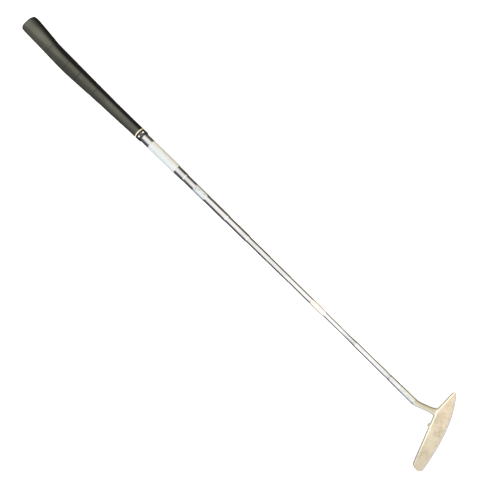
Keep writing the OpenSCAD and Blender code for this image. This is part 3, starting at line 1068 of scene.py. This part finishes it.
def post_rings():
    """The post inside the shaft, in club space, with a chamfered top."""
    rings = []
    for x, cut in ((POST_TOP - POST_CHAMFER, POST_CHAMFER), (POST_TOP, 0), (BEND_X + POST_SINK, 0)):
        circle = unit_circle(POST_SIDES) * (POST_D / 2 - cut)
        rings.append([(x, y, z) for y, z in circle])
    return rings


def blade_places():
    """Where the blade's sections lie: close together at the heel and the toe."""
    us = [HEEL_U + HEEL_ROUND * (k / 12) ** 1.5 for k in range(12)]
    us += list(np.arange(HEEL_U + HEEL_ROUND, TOE_U - TOE_CUT, 1.5 * MM))
    us += list(np.linspace(TOE_U - TOE_CUT, TOE_U - TOE_ROUND, 5))
    return us + [TOE_U - TOE_ROUND * (1 - k / 8) ** 1.5 for k in range(1, 9)]


def head_solids():
    """The overlapping solids of the head, in club space."""
    last = NECK_RINGS - 1
    shapes = [[blade_ring(u) for u in blade_places()],
              [neck_ring((k / last) ** 1.4, NECK_SIDES) for k in range(NECK_RINGS)],
              nub_rings(-1), nub_rings(1), nub_bridge()]
    solids = [loft(shape) for shape in shapes]
    return [(head_to_club(points), faces) for points, faces in solids] + [loft(post_rings())]


def fused(rough_cast):
    """One smooth closed mesh out of the object's overlapping solids, which is then removed."""
    merge = rough_cast.modifiers.new("merge", "REMESH")
    merge.mode = "VOXEL"
    merge.voxel_size = VOXEL
    relax = rough_cast.modifiers.new("relax", "SMOOTH")
    relax.factor = 0.5
    relax.iterations = 6
    seen = rough_cast.evaluated_get(bpy.context.evaluated_depsgraph_get())
    mesh = bpy.data.meshes.new_from_object(seen)
    bpy.data.objects.remove(rough_cast)
    for poly in mesh.polygons:
        poly.use_smooth = True
    return mesh


def build_head():
    points, faces = [], []
    for solid_points, solid_faces in head_solids():
        start = len(points)
        points += list(solid_points)
        faces += [tuple(start + i for i in f) for f in solid_faces]
    mesh = fused(new_object("head_parts", points, faces))
    mesh.name = "cast_head"
    head = bpy.data.objects.new("cast_head", mesh)
    bpy.context.scene.collection.objects.link(head)
    settle(bronze().on(head), "bronze", "putter_head")


# ---- stage ----

CAMERA_AT = Vector((0.13381, -0.01361, 1.0542))
CAMERA_TILT = math.radians(3.84)
CAMERA_LEAN = math.radians(2.95)
CAMERA_TURN = math.radians(44.35)
CAMERA_LENS = 50
SENSOR_WIDTH = 36

# Name, place, size, power and colour of each lamp
LAMPS = (("key", (0.0, -0.95, 1.25), 1.0, 13, (0.95, 0.98, 1.0)),
         ("fill", (-0.1, 0.3, 1.7), 1.5, 5, (1.0, 0.95, 0.86)))

SKY_COOL = (0.96, 0.97, 1.01)
SKY_WARM = (1.04, 0.99, 0.91)
FLOOR_HALF = 20
FLOOR_GLOW = 0.55
DOME_RADIUS = 30


def build_camera():
    cam = bpy.data.objects.new("camera", bpy.data.cameras.new("camera"))
    bpy.context.scene.collection.objects.link(cam)
    cam.data.lens = CAMERA_LENS
    cam.data.sensor_width = SENSOR_WIDTH
    cam.data.clip_start = 0.01
    turn = (Matrix.Rotation(CAMERA_TURN, 3, "Z") @ Matrix.Rotation(CAMERA_TILT, 3, "X")
            @ Matrix.Rotation(CAMERA_LEAN, 3, "Y"))
    cam.matrix_world = Matrix.Translation(CAMERA_AT) @ turn.to_4x4()
    bpy.context.scene.camera = cam


def build_light(name, at, size, power, colour):
    """A square lamp aimed at the middle of the floor, which shows in no reflection."""
    data = bpy.data.lights.new(name, "AREA")
    data.shape = "SQUARE"
    data.size = size
    data.energy = power
    data.color = colour
    lamp = bpy.data.objects.new(name, data)
    bpy.context.scene.collection.objects.link(lamp)
    lamp.location = at
    lamp.rotation_euler = (-Vector(at)).to_track_quat("-Z", "Y").to_euler()
    lamp.visible_glossy = False


def build_world():
    """A bright sky that is narrower and dimmer towards the grip, with a panel at each end."""
    world = bpy.data.worlds.new("studio")
    bpy.context.scene.world = world
    world.use_nodes = True
    s = Nodes(world.node_tree)
    back = s.tree.nodes["Background"]
    parts = s.node("ShaderNodeSeparateXYZ")
    s.link(s.node("ShaderNodeTexCoord").outputs["Generated"], parts.inputs[0])
    x, y, z = parts.outputs
    above_edge = s.math("SUBTRACT", z, s.ramp(x, -0.3, 0.2, 0.6, 0.15))
    sky = s.product(s.ramp(above_edge, -0.16, 0.26), s.ramp(x, -0.4, 0.05, 0.95, 1.25))
    ends = s.product(s.ramp(s.math("ABSOLUTE", x), 0.42, 0.68, 0.0, 1.2), s.ramp(z, -0.5, 0.0))
    glow = s.ramp(z, -1.0, 0.6, 0.08, 0.12)
    s.link(s.mix(s.ramp(y, -0.7, 0.7), SKY_COOL, SKY_WARM), back.inputs["Color"])
    s.link(s.math("MAXIMUM", s.math("MAXIMUM", sky, ends), glow), back.inputs["Strength"])


def mesh_object(name, bm):
    mesh = bpy.data.meshes.new(name)
    bm.to_mesh(mesh)
    bm.free()
    made = bpy.data.objects.new(name, mesh)
    bpy.context.scene.collection.objects.link(made)
    made.visible_diffuse = False
    made.visible_glossy = False
    return made


def white_material(name, glow, shade, **fixed):
    white = Shader(name, Emission_Strength=glow, **fixed)
    white.bsdf.inputs["Emission Color"].default_value = (1, 1, 1, 1)
    white.colour(shade)
    return white


def build_backdrop():
    """A plain white dome that only the camera sees."""
    bm = bmesh.new()
    bmesh.ops.create_icosphere(bm, subdivisions=4, radius=DOME_RADIUS)
    dome = mesh_object("backdrop", bm)
    dome.visible_shadow = False
    dome.visible_transmission = False
    return white_material("backdrop_white", 1.0, (0, 0, 0)).on(dome)


def build_floor():
    bm = bmesh.new()
    bmesh.ops.create_grid(bm, x_segments=1, y_segments=1, size=FLOOR_HALF)
    floor = mesh_object("floor", bm)
    return white_material("floor_white", FLOOR_GLOW, (0.86, 0.86, 0.86), Roughness=0.9).on(floor)


build_camera()
build_world()
for lamp in LAMPS:
    build_light(*lamp)
build_floor()
build_backdrop()

build_shaft()
build_sleeve()
build_neck_band()
build_price_label()
build_shaft_label()
build_grip()
build_grip_cap()
build_trim_ring()
build_mouth_band()
build_dots()
build_head()

# The hidden pieces keep their CAD meshes
moulded("tape_paper", TAPE, TAPE_SHADE, 0.6, 0.8).on(frame["nodes"]["grip_tape"])
epoxy().on(frame["nodes"]["hosel_epoxy"])

bpy.context.scene.view_settings.view_transform = "Standard"
